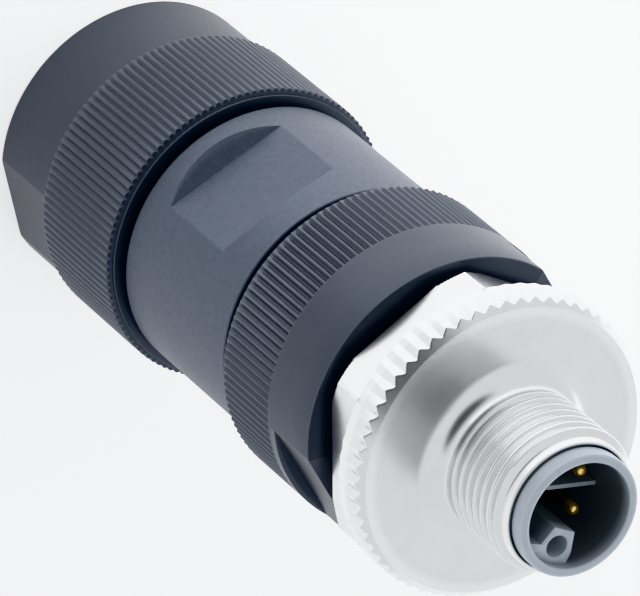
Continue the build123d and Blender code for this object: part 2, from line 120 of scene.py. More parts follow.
def flat_at(distance, azimuth, centre_deg, period_deg):
    """Radius at which each azimuth meets the nearest of evenly spaced planes: distance / cos(angle)."""
    return distance / np.maximum(np.cos(angle_from(azimuth, centre_deg, period_deg)), 1e-3)


# %% [markdown]
# ## From a grid to a mesh
# The grid's rows run along the line and its columns round the axis. Worn edges and their painted
# highlights need to know where the surface is convex. Blender's own pointiness is uneven on long thin
# quads, so each point stores how far it stands out of its four neighbours, and the materials read that
# attribute.


# %% Grids
def ring_points(radius, height, azimuth, centre=(0.0, 0.0)):
    """Points at radius * (cos azimuth, sin azimuth) and height, shifted sideways by centre; all in mm."""
    x = centre[0] + radius * np.cos(azimuth)
    y = centre[1] + radius * np.sin(azimuth)
    return np.stack([x, y, np.broadcast_to(height, x.shape)], axis=-1)


def convexity(points, closed_rows):
    """Mean sine of the angles by which the four neighbours of each grid point lie below its tangent plane:
    above 0 on a ridge, 0 on a flat and below 0 in a groove."""
    before = np.roll(points, 1, axis=0)
    after = np.roll(points, -1, axis=0)
    if not closed_rows:
        before[0] = points[0]
        after[-1] = points[-1]
    left = np.roll(points, 1, axis=1)
    right = np.roll(points, -1, axis=1)
    normal = np.cross(right - left, after - before)
    normal = normal / np.maximum(np.linalg.norm(normal, axis=-1, keepdims=True), 1e-12)
    ways = points - np.stack([before, after, left, right])
    lengths = np.maximum(np.linalg.norm(ways, axis=-1), 1e-12)
    return ((ways * normal).sum(axis=-1) / lengths).mean(axis=0)


def store(mesh, name, values):
    """One number for each point of a mesh, for the materials to read."""
    kept = mesh.attributes.new(name, "FLOAT", "POINT")
    kept.data.foreach_set("value", np.ravel(values).astype(np.float32))


def surface(name, points, closed_rows=True, crease=32.0, deep=None):
    """Quad surface over a (rows, columns, 3) array in mm. Columns always close. Rows close for a ring;
    otherwise the first and the last row are poles, whose points are welded into one. Deep is the share of
    painted shade at each point, by how far inside the plug's mouth it lies."""
    rows, columns = points.shape[:2]
    index = np.arange(rows * columns).reshape(rows, columns)
    if closed_rows:
        index = np.vstack([index, index[:1]])
    right = np.roll(index, -1, axis=1)
    faces = np.stack([index[:-1], right[:-1], right[1:], index[1:]], axis=-1).reshape(-1, 4)
    mesh = bpy.data.meshes.new(name)
    mesh.from_pydata((points.reshape(-1, 3) * MM).tolist(), [], faces.tolist())
    store(mesh, "edge", convexity(points, closed_rows))
    if deep is not None:
        store(mesh, "deep", deep)
    if not closed_rows:
        weld = bmesh.new()
        weld.from_mesh(mesh)
        bmesh.ops.remove_doubles(weld, verts=weld.verts, dist=1e-8)
        weld.to_mesh(mesh)
        weld.free()
    mesh.update()
    mesh.shade_smooth()
    mesh.set_sharp_from_angle(angle=math.radians(crease))
    piece = bpy.data.objects.new(name, mesh)
    bpy.context.scene.collection.objects.link(piece)
    return piece


def place(piece, body, material, slot, *nodes):
    """Paints a piece, lets it ride on its body and hides the CAD nodes that it stands for."""
    piece.data.materials.append(material)
    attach(piece, body)
    if nodes:
        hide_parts(*nodes)
    print(piece.name, "on", body, "faces", len(piece.data.polygons))


# %% [markdown]
# ## Material effects
# Three effects are shared. Mould grain is the fine spark-eroded texture of the plastics, with a slower
# mottle. Edge light picks the convex edges and lightens them, partly as wear that handling has polished
# and partly as a painted highlight of the thin line of light an edge catches. Hollow shade is painted
# shade: it darkens what lies deep in the plug's mouth, where little light gets in. They are node groups,
# so every material reads them at its own size.


# %% Node groups
GRAIN_HEIGHT = 0.1 * MM
GRAIN_DETAIL = 3.0
MOTTLE_DETAIL = 4.0


def new_group(name, inputs, outputs):
    """An empty shader group with float inputs {name: default} and outputs {name: socket type}."""
    tree = bpy.data.node_groups.new(name, "ShaderNodeTree")
    for label, default in inputs.items():
        socket = tree.interface.new_socket(label, in_out="INPUT", socket_type="NodeSocketFloat")
        socket.default_value = default
    for label, kind in outputs.items():
        tree.interface.new_socket(label, in_out="OUTPUT", socket_type=kind)
    return tree, tree.nodes.new("NodeGroupInput"), tree.nodes.new("NodeGroupOutput")


def node(tree, kind, **settings):
    """A node of one kind with its properties set."""
    made = tree.nodes.new(kind)
    for key, value in settings.items():
        setattr(made, key, value)
    return made


def mould_grain():
    """Group: fine noise in object space. Outputs a bumped normal, the fine value and a slower mottle."""
    tree, source, sink = new_group(
        "Mould grain",
        {"Scale": 6000.0, "Depth": 0.1, "Mottle scale": 900.0},
        {"Normal": "NodeSocketVector", "Grain": "NodeSocketFloat", "Mottle": "NodeSocketFloat"},
    )
    place_in = node(tree, "ShaderNodeTexCoord")
    fine = node(tree, "ShaderNodeTexNoise", noise_dimensions="3D")
    fine.inputs["Detail"].default_value = GRAIN_DETAIL
    mottle = node(tree, "ShaderNodeTexNoise", noise_dimensions="3D")
    mottle.inputs["Detail"].default_value = MOTTLE_DETAIL
    bump = node(tree, "ShaderNodeBump")
    bump.inputs["Distance"].default_value = GRAIN_HEIGHT
    tree.links.new(place_in.outputs["Object"], fine.inputs["Vector"])
    tree.links.new(place_in.outputs["Object"], mottle.inputs["Vector"])
    tree.links.new(source.outputs["Scale"], fine.inputs["Scale"])
    tree.links.new(source.outputs["Mottle scale"], mottle.inputs["Scale"])
    tree.links.new(source.outputs["Depth"], bump.inputs["Strength"])
    tree.links.new(fine.outputs["Fac"], bump.inputs["Height"])
    tree.links.new(bump.outputs["Normal"], sink.inputs["Normal"])
    tree.links.new(fine.outputs["Fac"], sink.inputs["Grain"])
    tree.links.new(mottle.outputs["Fac"], sink.inputs["Mottle"])
    return tree


def edge_wear_and_highlight():
    """Group: the stored convexity as a mask, 0 up to Start and 1 from End on, for edge wear and a painted
    edge highlight.
    """
    tree, source, sink = new_group("Edge light", {"Start": 0.045, "End": 0.14}, {"Mask": "NodeSocketFloat"})
    stored = node(tree, "ShaderNodeAttribute", attribute_name="edge")
    ramp = node(tree, "ShaderNodeMapRange", interpolation_type="SMOOTHSTEP")
    tree.links.new(stored.outputs["Fac"], ramp.inputs["Value"])
    tree.links.new(source.outputs["Start"], ramp.inputs["From Min"])
    tree.links.new(source.outputs["End"], ramp.inputs["From Max"])
    tree.links.new(ramp.outputs["Result"], sink.inputs["Mask"])
    return tree


def painted_hollow_shade():
    """Group: painted shade, the stored depth in a hollow as a mask, scaled by Share."""
    tree, source, sink = new_group("Hollow shade", {"Share": 1.0}, {"Mask": "NodeSocketFloat"})
    stored = node(tree, "ShaderNodeAttribute", attribute_name="deep")
    scaled = node(tree, "ShaderNodeMath", operation="MULTIPLY")
    tree.links.new(stored.outputs["Fac"], scaled.inputs[0])
    tree.links.new(source.outputs["Share"], scaled.inputs[1])
    tree.links.new(scaled.outputs["Value"], sink.inputs["Mask"])
    return tree


GRAIN = mould_grain()
EDGE_WEAR_AND_HIGHLIGHT = edge_wear_and_highlight()
PAINTED_HOLLOW_SHADE = painted_hollow_shade()
print("groups", GRAIN.name, EDGE_WEAR_AND_HIGHLIGHT.name, PAINTED_HOLLOW_SHADE.name)

# %% [markdown]
# ## Materials
# Each finish is a pair of colours mixed by the mottle, lifted on the edges, with its roughness moved by the
# grain. Plastics and rubber are plain dielectrics. The plated screw and the contacts are metals with a
# soft, tumbled surface.


# %% Finishes
# The part of the noise values, which gather around a half, that is spread over the full change.
MOTTLE_RANGE = (0.35, 0.65)
GRAIN_RANGE = (0.3, 0.7)


def finish(name, dark, light, edge, roughness, scale, depth, metallic=0.0, mottle=900.0, edge_share=0.5,
           spread=0.12, gloss=0.5, tint=(1.0, 1.0, 1.0), ior=1.5, hollow=0.0):
    """A material from two base colours, an edge colour for wear and a painted edge highlight, a roughness
    and the grain's scale and depth. Gloss, tint and ior set a plastic's shine, and hollow is how dark the
    painted shade makes it deep inside."""
    material = bpy.data.materials.new(name)
    material.use_nodes = True
    tree = material.node_tree
    shader = tree.nodes["Principled BSDF"]
    shader.inputs["Metallic"].default_value = metallic
    shader.inputs["Specular IOR Level"].default_value = gloss
    shader.inputs["Specular Tint"].default_value = (*tint, 1)
    shader.inputs["IOR"].default_value = ior
    grain = node(tree, "ShaderNodeGroup", node_tree=GRAIN)
    grain.inputs["Scale"].default_value = scale
    grain.inputs["Depth"].default_value = depth
    grain.inputs["Mottle scale"].default_value = mottle
    # Edge lightening on convex edges: partly wear, partly a painted highlight.
    wear_and_highlight = node(tree, "ShaderNodeGroup", node_tree=EDGE_WEAR_AND_HIGHLIGHT)
    share = node(tree, "ShaderNodeMath", operation="MULTIPLY")
    share.inputs[1].default_value = edge_share
    contrast = node(tree, "ShaderNodeMapRange")
    contrast.inputs["From Min"].default_value = MOTTLE_RANGE[0]
    contrast.inputs["From Max"].default_value = MOTTLE_RANGE[1]
    body = node(tree, "ShaderNodeMix", data_type="RGBA")
    body.inputs["A"].default_value = (*dark, 1)
    body.inputs["B"].default_value = (*light, 1)
    # The edge colour stands partly for wear and partly for a painted highlight.
    lifted = node(tree, "ShaderNodeMix", data_type="RGBA")
    lifted.inputs["B"].default_value = (*edge, 1)
    # Painted shade: the base colour is mixed towards black deep in the plug's mouth.
    inside = node(tree, "ShaderNodeGroup", node_tree=PAINTED_HOLLOW_SHADE)
    inside.inputs["Share"].default_value = hollow
    shaded = node(tree, "ShaderNodeMix", data_type="RGBA")
    shaded.inputs["B"].default_value = (0, 0, 0, 1)
    rough = node(tree, "ShaderNodeMapRange")
    rough.inputs["From Min"].default_value = GRAIN_RANGE[0]
    rough.inputs["From Max"].default_value = GRAIN_RANGE[1]
    rough.inputs["To Min"].default_value = roughness - spread / 2
    rough.inputs["To Max"].default_value = roughness + spread / 2
    tree.links.new(grain.outputs["Mottle"], contrast.inputs["Value"])
    tree.links.new(contrast.outputs["Result"], body.inputs["Factor"])
    tree.links.new(wear_and_highlight.outputs["Mask"], share.inputs[0])
    tree.links.new(share.outputs["Value"], lifted.inputs["Factor"])
    tree.links.new(body.outputs["Result"], lifted.inputs["A"])
    tree.links.new(inside.outputs["Mask"], shaded.inputs["Factor"])
    tree.links.new(lifted.outputs["Result"], shaded.inputs["A"])
    tree.links.new(shaded.outputs["Result"], shader.inputs["Base Color"])
    tree.links.new(grain.outputs["Grain"], rough.inputs["Value"])
    tree.links.new(rough.outputs["Result"], shader.inputs["Roughness"])
    tree.links.new(grain.outputs["Normal"], shader.inputs["Normal"])
    return material


BLUE_SHINE = (0.7, 0.8, 1.0)
# Each edge colour below is partly rubbed wear and partly a painted highlight on convex edges.
SLATE = finish(
    "Slate plastic", dark=(0.009, 0.0105, 0.016), light=(0.012, 0.014, 0.02), edge=(0.12, 0.13, 0.155),
    roughness=0.4, scale=9000, depth=0.08, gloss=1.0, tint=BLUE_SHINE, ior=1.55,
)
GREY = finish(
    "Grey plastic", dark=(0.009, 0.0115, 0.019), light=(0.021, 0.026, 0.039), edge=(0.12, 0.135, 0.17),
    roughness=0.44, scale=5200, depth=0.25, mottle=1800.0, edge_share=0.3, gloss=1.0, tint=BLUE_SHINE,
    ior=1.73,
)
# Pale plastic darkens deep in the mouth by painted shade.
PALE = finish(
    "Pale plastic", dark=(0.345, 0.39, 0.44), light=(0.37, 0.415, 0.465), edge=(0.46, 0.51, 0.56),
    roughness=0.42, scale=8000, depth=0.08, gloss=0.9, hollow=0.62,
)
BLACK = finish(
    "Black rubber", dark=(0.004, 0.004, 0.005), light=(0.006, 0.006, 0.007), edge=(0.012, 0.012, 0.014),
    roughness=0.6, scale=7000, depth=0.15,
)
NICKEL = finish(
    "Satin nickel", dark=(0.69, 0.69, 0.695), light=(0.71, 0.71, 0.715), edge=(0.85, 0.85, 0.85),
    roughness=0.23, scale=4200, depth=0.0, metallic=1.0, mottle=500.0, spread=0.03,
)
STEEL = finish(
    "Spring steel", dark=(0.5, 0.5, 0.5), light=(0.58, 0.58, 0.58), edge=(0.7, 0.7, 0.7),
    roughness=0.32, scale=6000, depth=0.05, metallic=1.0,
)
# Gold plate darkens deep in the mouth by painted shade.
GOLD = finish(
    "Gold plate", dark=(0.83, 0.56, 0.2), light=(0.9, 0.65, 0.28), edge=(1.0, 0.78, 0.42),
    roughness=0.22, scale=9000, depth=0.04, metallic=1.0, hollow=0.7,
)
print("finishes", len(bpy.data.materials))

# %% [markdown]
# ## Gland nut
# The pressing nut is one moulding: a smooth band with two wrench flats, then a straight knurl of 120
# grooves. A groove is a raised cosine round the circle, which gives the rounded ridges that a mould leaves,
# and the flats are the smaller of the ring's radius and a plane's distance. The ridges end at a small
# collar in front.

# %% Gland nut
KNURL_COUNT = 120
NUT_KNURL_DEPTH = 0.18
NUT_BAND_R = NUT_R - 0.5
NUT_BAND_FRONT = NUT_REAR + 7.5
NUT_FLAT_R = NUT_R - 1.1
NUT_FLAT_AZIMUTH = -29.8
NUT_GROOVE_AZIMUTH = -92.0
NUT_GROOVE_SHARPNESS = 1.5
GROOVE_COLUMNS = 10
HALF_TURN = 180
NUT_BORE_R = 10.5
NUT_OUTSIDE_R = NUT_BORE_R + 0.3
NUT_STEP = NUT_REAR + 6.2
NUT_EDGE = 0.1
NUT_COLLAR_R = NUT_R - 0.45
NUT_COLLAR_REAR = NUT_FRONT - 0.38
NUT_GRIP_FRONT = NUT_FRONT - 0.45
GRIP_RISE = 0.4
CONE_R = 8.3
CONE_REAR = NUT_REAR + 2.0
MOUTH_R = 6.9
MOUTH_EDGE = 0.6
FIRST_GROOVE = 0.02
NUT_ROW = 3.0
NUT_LINE = add_rows(rounded_line([
    (MOUTH_R + MOUTH_EDGE, NUT_REAR, 0.2), (NUT_BAND_R - NUT_EDGE, NUT_REAR, 0.04),
    (NUT_BAND_R, NUT_REAR + NUT_EDGE, 0.04), (NUT_BAND_R, NUT_REAR + 2 * NUT_EDGE, 0.0),
    (NUT_BAND_R, NUT_BAND_FRONT, 0.0), (NUT_BAND_R + 0.1, NUT_BAND_FRONT + FIRST_GROOVE, 0.0),
    (NUT_R, NUT_BAND_FRONT + GRIP_RISE, 0.15), (NUT_R, NUT_GRIP_FRONT, 0.05),
    (NUT_R - NUT_KNURL_DEPTH, NUT_GRIP_FRONT + FIRST_GROOVE, 0.0), (NUT_COLLAR_R, NUT_COLLAR_REAR, 0.03),
    (NUT_COLLAR_R, NUT_FRONT, 0.06), (NUT_BORE_R, NUT_FRONT, 0.1), (NUT_BORE_R, NUT_STEP, 0.1),
    (CONE_R, NUT_STEP, 0.1), (MOUTH_R, CONE_REAR, 0.1), (MOUTH_R, NUT_REAR + MOUTH_EDGE, 0.15),
]), NUT_ROW)


def knurl(radius, azimuth, groove_deg, sharpness, top_r, depth):
    """Radius lowered in each groove by a raised cosine to a power, down to a depth below the top."""
    wave = (0.5 + 0.5 * np.cos(KNURL_COUNT * (azimuth - math.radians(groove_deg)))) ** sharpness
    return radius - np.clip(radius - (top_r - depth), 0, depth) * wave


def gland_nut():
    """Closed ring along NUT_LINE, grooved above the band radius and cut by two flats on the band."""
    azimuth = columns_of(GROOVE_COLUMNS * KNURL_COUNT)
    r = NUT_LINE[:, :1]
    z = NUT_LINE[:, 1:]
    outside = r > NUT_OUTSIDE_R
    on_band = outside & (z < NUT_BAND_FRONT + FIRST_GROOVE / 2)
    grooved = knurl(r, azimuth, NUT_GROOVE_AZIMUTH, NUT_GROOVE_SHARPNESS, NUT_R, NUT_KNURL_DEPTH)
    radius = np.where(outside & ~on_band, grooved, r)
    plane = flat_at(NUT_FLAT_R, azimuth, NUT_FLAT_AZIMUTH, HALF_TURN)
    radius = np.where(on_band, np.minimum(radius, plane), radius)
    return surface("gland_nut_skin", ring_points(radius, z, azimuth))


place(gland_nut(), "nut_body", SLATE, "dark_plastic", "gland_nut")

# %% [markdown]
# ## Housing
# The housing is a sleeve with two flats whose ends run out at 45 degrees. Cutting an even grid would leave
# a jagged edge, so two rows follow the curve where each slope leaves the cylinder: at an azimuth turned
# away from the flat's middle by an angle a, that is R cos(a) minus the flat's distance beyond the flat's
# end. A further row close to each edge keeps its line of wear and painted highlight narrow.

# %% Housing sleeve
SLEEVE_EDGE = 0.2
SLEEVE_INNER_R = 9.8
SLEEVE_COLUMNS = 900
SLEEVE_CREASE = 20.0
SLEEVE_EDGE_ROWS = 7
HOUSING_FLAT_R = HOUSING_R - 1.33
HOUSING_FLAT_AZIMUTH = 73.0
HOUSING_FLAT_REAR = SLEEVE_REAR + 3.2
HOUSING_FLAT_FRONT = HOUSING_FLAT_REAR + 8.05
SLOPE_LEAST = 0.02
EDGE_ROW = 0.06


def housing_sleeve():
    """Closed ring: rear face, edge, cylinder, slope, flat, slope, cylinder, edge, front face, bore."""
    azimuth = columns_of(SLEEVE_COLUMNS)
    turn = angle_from(azimuth, HOUSING_FLAT_AZIMUTH, HALF_TURN)
    slope = np.maximum(HOUSING_R * np.cos(turn) - HOUSING_FLAT_R, SLOPE_LEAST)
    cut_r = np.minimum(HOUSING_R, flat_at(HOUSING_FLAT_R, azimuth, HOUSING_FLAT_AZIMUTH, HALF_TURN))
    corner = np.linspace(0, math.pi / 2, SLEEVE_EDGE_ROWS)[:, None]
    inset = SLEEVE_EDGE * (1 - np.sin(corner))
    rise = SLEEVE_EDGE * (1 - np.cos(corner))
    wide = np.ones_like(azimuth)
    outer = HOUSING_R * wide
    radius = np.vstack([
        SLEEVE_INNER_R * wide, (HOUSING_R - inset) * wide, outer, outer, outer, cut_r, cut_r, cut_r, cut_r,
        outer, outer, outer, (HOUSING_R - inset[::-1]) * wide, SLEEVE_INNER_R * wide,
    ])
    height = np.vstack([
        SLEEVE_REAR * wide, (SLEEVE_REAR + rise) * wide, (SLEEVE_REAR + SLEEVE_EDGE + EDGE_ROW) * wide,
        HOUSING_FLAT_REAR - slope - EDGE_ROW, HOUSING_FLAT_REAR - slope, HOUSING_FLAT_REAR * wide,
        (HOUSING_FLAT_REAR + EDGE_ROW) * wide, (HOUSING_FLAT_FRONT - EDGE_ROW) * wide,
        HOUSING_FLAT_FRONT * wide, HOUSING_FLAT_FRONT + slope, HOUSING_FLAT_FRONT + slope + EDGE_ROW,
        (SLEEVE_FRONT - SLEEVE_EDGE - EDGE_ROW) * wide, (SLEEVE_FRONT - rise[::-1]) * wide,
        SLEEVE_FRONT * wide,
    ])
    return surface("housing_sleeve", ring_points(radius, height, azimuth), crease=SLEEVE_CREASE)


place(housing_sleeve(), "housing_body", GREY, "grey_plastic", "housing")

# %% [markdown]
# ## Housing core
# The two spigots inside the sleeve carry the threads for the nut and for the ring. A thread could be a
# swept profile, but a helix on a grid is only a triangle wave of height over pitch minus azimuth over a
# full turn.

# %% Housing core
REAR_SPIGOT_R = NUT_BORE_R - 0.1
FRONT_SPIGOT_R = 9.9
CHAMBER_R = 8.8
STOP_R = 6.6
STOP_FRONT = SLEEVE_REAR - 0.45
STOP_REAR = STOP_FRONT - 1.8
CORE_MOUTH_R = 8.0
CORE_COLUMNS = 240
SPIGOT_PITCH = 1.5
SPIGOT_DEPTH = 0.5
THREAD_FADE = 0.5
CORE_OUTSIDE_R = CHAMBER_R + 0.5
CORE_ROW = 0.2
CORE_LINE = add_rows(rounded_line([
    (CORE_MOUTH_R, SPIGOT_REAR, 0.1), (REAR_SPIGOT_R, SPIGOT_REAR, 0.3),
    (REAR_SPIGOT_R, SLEEVE_REAR + 0.4, 0.1), (FRONT_SPIGOT_R, SLEEVE_REAR + 0.5, 0.1),
    (FRONT_SPIGOT_R, SPIGOT_FRONT, 0.3),
    (CHAMBER_R, SPIGOT_FRONT, 0.1), (CHAMBER_R, STOP_FRONT, 0.2), (STOP_R, STOP_FRONT, 0.1),
    (STOP_R, STOP_REAR, 0.1), (CORE_MOUTH_R, STOP_REAR, 0.1),
]), CORE_ROW)


def smooth_step(low, high, value):
    """0 below low, 1 above high, and 3t^2 - 2t^3 between them."""
    t = np.clip((value - low) / (high - low), 0, 1)
    return t * t * (3 - 2 * t)


def helix_wave(z, azimuth, pitch):
    """Triangle wave, 0 at the roots and 1 at the crests of a right-hand thread."""
    phase = np.mod(z / pitch - azimuth / (2 * math.pi), 1.0)
    return 1 - np.abs(2 * phase - 1)


def thread_zone(z, rear, front):
    """1 between two heights, faded over the thread's fade inside each of them."""
    return smooth_step(rear, rear + THREAD_FADE, z) * smooth_step(front, front - THREAD_FADE, z)


def housing_core():
    """Closed ring along CORE_LINE, with a helix cut into the outside of each spigot."""
    azimuth = columns_of(CORE_COLUMNS)
    r = CORE_LINE[:, :1]
    z = CORE_LINE[:, 1:]
    outside = r > CORE_OUTSIDE_R
    rear = thread_zone(z, SPIGOT_REAR + 0.5, SLEEVE_REAR - 1.1)
    front = thread_zone(z, SLEEVE_FRONT + 1.5, SPIGOT_FRONT - 0.2)
    depth = SPIGOT_DEPTH * outside * (rear + front) * (1 - helix_wave(z, azimuth, SPIGOT_PITCH))
    return surface("housing_core", ring_points(r - depth, z, azimuth))


place(housing_core(), "housing_body", GREY, "grey_plastic")

# %% [markdown]
# ## Union ring
# The union ring is moulded like the nut, with a chamfered rear edge, wider grooves, a smooth front band and
# two flats that run out to the front. Its bore steps down to the lip that holds the coupling screw.

# %% Union ring
RING_GROOVE_AZIMUTH = -90.0
RING_KNURL_DEPTH = 0.24
RING_GROOVE_SHARPNESS = 1.0
RING_CHAMFER = 0.7
RING_KNURL_FRONT = RING_REAR + 7.54
RING_FLAT_R = RING_R - 1.0
RING_FLAT_AZIMUTH = -14.3
RING_FLAT_REAR = RING_FRONT - 5.0
RING_BORE_R = 10.0
RING_OUTSIDE_R = RING_BORE_R + 0.5
RING_NECK_R = 8.9
RING_LIP_R = 7.5
RING_LIP_REAR = RING_FRONT - 3.2
RING_STEP = SPIGOT_FRONT + 1.4
STEP_ROW = 0.02
RING_ROW = 2.5
RING_LINE = add_rows(rounded_line([
    (RING_BORE_R, RING_REAR, 0.1), (RING_R - RING_CHAMFER, RING_REAR, 0.1),
    (RING_R - RING_KNURL_DEPTH, RING_REAR + RING_CHAMFER - RING_KNURL_DEPTH, 0.0),
    (RING_R, RING_REAR + RING_CHAMFER, 0.08), (RING_R, RING_KNURL_FRONT - STEP_ROW, 0.0),
    (RING_R, RING_KNURL_FRONT + STEP_ROW, 0.0), (RING_R, RING_KNURL_FRONT + 5 * STEP_ROW, 0.0),
    (RING_R, RING_FLAT_REAR - STEP_ROW, 0.0), (RING_R, RING_FLAT_REAR + STEP_ROW, 0.0),
    (RING_R, RING_FRONT, 0.12), (RING_LIP_R, RING_FRONT, 0.15), (RING_LIP_R, RING_LIP_REAR, 0.1),
    (RING_NECK_R, RING_LIP_REAR, 0.1), (RING_NECK_R, RING_STEP, 0.1), (RING_BORE_R, RING_STEP, 0.1),
]), RING_ROW)


def union_ring():
    """Closed ring along RING_LINE, grooved behind the band and cut by two flats in front of it."""
    azimuth = columns_of(GROOVE_COLUMNS * KNURL_COUNT)
    r = RING_LINE[:, :1]
    z = RING_LINE[:, 1:]
    outside = r > RING_OUTSIDE_R
    grooved = knurl(r, azimuth, RING_GROOVE_AZIMUTH, RING_GROOVE_SHARPNESS, RING_R, RING_KNURL_DEPTH)
    radius = np.where(outside & (z < RING_KNURL_FRONT), grooved, r)
    plane = flat_at(RING_FLAT_R, azimuth, RING_FLAT_AZIMUTH, HALF_TURN)
    radius = np.where(outside & (z > RING_FLAT_REAR), np.minimum(radius, plane), radius)
    return surface("union_ring_skin", ring_points(radius, z, azimuth))


place(union_ring(), "ring_body", SLATE, "dark_plastic", "union_ring")

# %% [markdown]
# ## Coupling screw head
# The coupling screw is turned brass with a nickel plate. Its head has a hexagon collar, then a flange with
# sixty V teeth, and a long fillet up to the thread. The head and the stem are two surfaces that meet at the
# end of that fillet, because the teeth need many columns and the thread needs many rows.

# %% Coupling screw head
COLLAR_REAR = RING_FRONT + 0.95
COLLAR_FRONT = COLLAR_REAR + 3.7
COLLAR_CONE = 0.85
HEX_R = 10.8
HEX_FLAT_AZIMUTH = -41.3
HEX_STEP = 60
FLANGE_FRONT = COLLAR_FRONT + 2.83
FLANGE_CONE = 0.71
TOOTH_COUNT = 60
TOOTH_DEPTH = 0.37
TOOTH_AZIMUTH = -91.8
TOOTH_START = 0.25
TOOTH_COLUMNS = 16
ROOT_R = 5.4
FILLET = 2.0
STEM_REAR = FLANGE_FRONT + FILLET
STEM_BORE_R = 5.1
POCKET_R = 6.3
POCKET_FRONT = SCREW_REAR + 4.4
NECK_R = 7.3
HEAD_OUTSIDE_R = NECK_R + 1
CLIP_REAR, CLIP_FRONT = span("retaining_ring")[1:]
CLIP_GROOVE_R = NECK_R - 0.35
HEAD_ROW = 1.5
CONE_ROWS = 9
FILLET_ROWS = 13


def cone_rows(start_r, start_z, run, way, count):
    """Points on a 45-degree cone from (start_r, start_z), up by run and outwards (1) or inwards (-1)."""
    step = np.linspace(0, run, count)
    return np.stack([start_r + way * step, start_z + step], axis=1)


FILLET_TURN = np.linspace(0, math.pi / 2, FILLET_ROWS)[:, None]
HEAD_LINE = add_rows(np.vstack([
    np.array([
        (POCKET_R, SCREW_REAR), (NECK_R, SCREW_REAR), (NECK_R, CLIP_REAR), (CLIP_GROOVE_R, CLIP_REAR),
        (CLIP_GROOVE_R, CLIP_FRONT), (NECK_R, CLIP_FRONT), (NECK_R, COLLAR_REAR),
    ]),
    cone_rows(SCREW_R - COLLAR_CONE, COLLAR_REAR, COLLAR_CONE, 1, CONE_ROWS),
    np.array([(SCREW_R, COLLAR_FRONT - STEP_ROW), (SCREW_R, COLLAR_FRONT)]),
    cone_rows(SCREW_R, FLANGE_FRONT - FLANGE_CONE, FLANGE_CONE, -1, CONE_ROWS),
    np.hstack([
        ROOT_R + FILLET * (1 - np.sin(FILLET_TURN)), FLANGE_FRONT + FILLET * (1 - np.cos(FILLET_TURN)),
    ]),
    np.array([(STEM_BORE_R, STEM_REAR), (STEM_BORE_R, POCKET_FRONT), (POCKET_R, POCKET_FRONT)]),
]), HEAD_ROW)


def screw_head():
    """Closed ring along HEAD_LINE: a hexagon, whose corners the rear cone trims, then V teeth, trimmed by
    the front cone. Teeth fall from ridge to groove by a depth that grows towards the front."""
    azimuth = columns_of(TOOTH_COLUMNS * TOOTH_COUNT)
    r = HEAD_LINE[:, :1]
    z = HEAD_LINE[:, 1:]
    outside = r > HEAD_OUTSIDE_R
    hexagon = flat_at(HEX_R, azimuth, HEX_FLAT_AZIMUTH, HEX_STEP)
    radius = np.where(outside & (z < COLLAR_FRONT - STEP_ROW / 2), np.minimum(r, hexagon), r)
    tooth = np.abs(angle_from(azimuth, TOOTH_AZIMUTH, 360 / TOOTH_COUNT)) / math.radians(180 / TOOTH_COUNT)
    deepening = np.clip((z - COLLAR_FRONT) / (FLANGE_FRONT - FLANGE_CONE - COLLAR_FRONT), 0, 1)
    depth = TOOTH_DEPTH * tooth * (TOOTH_START + (1 - TOOTH_START) * deepening)
    toothed = np.minimum(radius, SCREW_R - depth)
    radius = np.where(outside & (z > COLLAR_FRONT - STEP_ROW / 2), toothed, radius)
    return surface("coupling_head", ring_points(radius, z, azimuth))


place(screw_head(), "screw_body", NICKEL, "nickel", "coupling_screw")

# %% [markdown]
# ## Coupling screw stem
# The stem is the thread that people turn into the socket. It rises out of the fillet, ends in a steep
# chamfer and leaves a short plain lead in front. The helix is the same wave as on the housing, eased to a
# flat crest and root.

# %% Coupling screw stem
CREST_R = 6.0
THREAD_PITCH = 1.0
THREAD_REAR = STEM_REAR - 0.05
THREAD_FRONT = SCREW_FRONT - 1.37
LEAD_REAR = THREAD_FRONT + CREST_R - ROOT_R
LAP = 0.08
STEM_ROWS = 176
STEM_COLUMNS = 288
STEM_CREASE = 75.0
ROOT_END = 0.06
CREST_START = 0.86
STEM_LINE = np.vstack([
    np.stack([np.full(STEM_ROWS, ROOT_R), np.linspace(STEM_REAR - LAP, LEAD_REAR, STEM_ROWS)], axis=1),
    rounded_line([
        (STEM_BORE_R, LEAD_REAR, 0.0), (ROOT_R, LEAD_REAR, 0.0), (ROOT_R, SCREW_FRONT, 0.14),
        (STEM_BORE_R, SCREW_FRONT, 0.1),
    ])[2:],
    np.array([(STEM_BORE_R, STEM_REAR - LAP)]),
])


def screw_stem():
    """Closed tube along STEM_LINE. Its outer wall rises from the root by a smooth step of the helix wave,
    held below a steep run-out at both ends."""
    azimuth = columns_of(STEM_COLUMNS)
    r = STEM_LINE[:, :1]
    z = STEM_LINE[:, 1:]
    threaded = (np.arange(len(STEM_LINE)) < STEM_ROWS)[:, None]
    wave = helix_wave(z, azimuth, THREAD_PITCH)
    turn_height = (CREST_R - ROOT_R) * smooth_step(ROOT_END, CREST_START, wave)
    room = 2 * np.minimum(z - THREAD_REAR, LEAD_REAR - z)
    radius = r + threaded * np.clip(np.minimum(turn_height, room), 0, None)
    return surface("coupling_stem", ring_points(radius, z, azimuth), crease=STEM_CREASE)


place(screw_stem(), "screw_body", NICKEL, "nickel")

# %% [markdown]
# ## Contact insert
# The shroud is a thin moulded tube with a rounded rim that stands out a little over the screw. The tower
# for the earth contact stands inside it: seen from its hole, its outline is a distance for each direction,
# so its top, its sides and its hole are one polar grid.

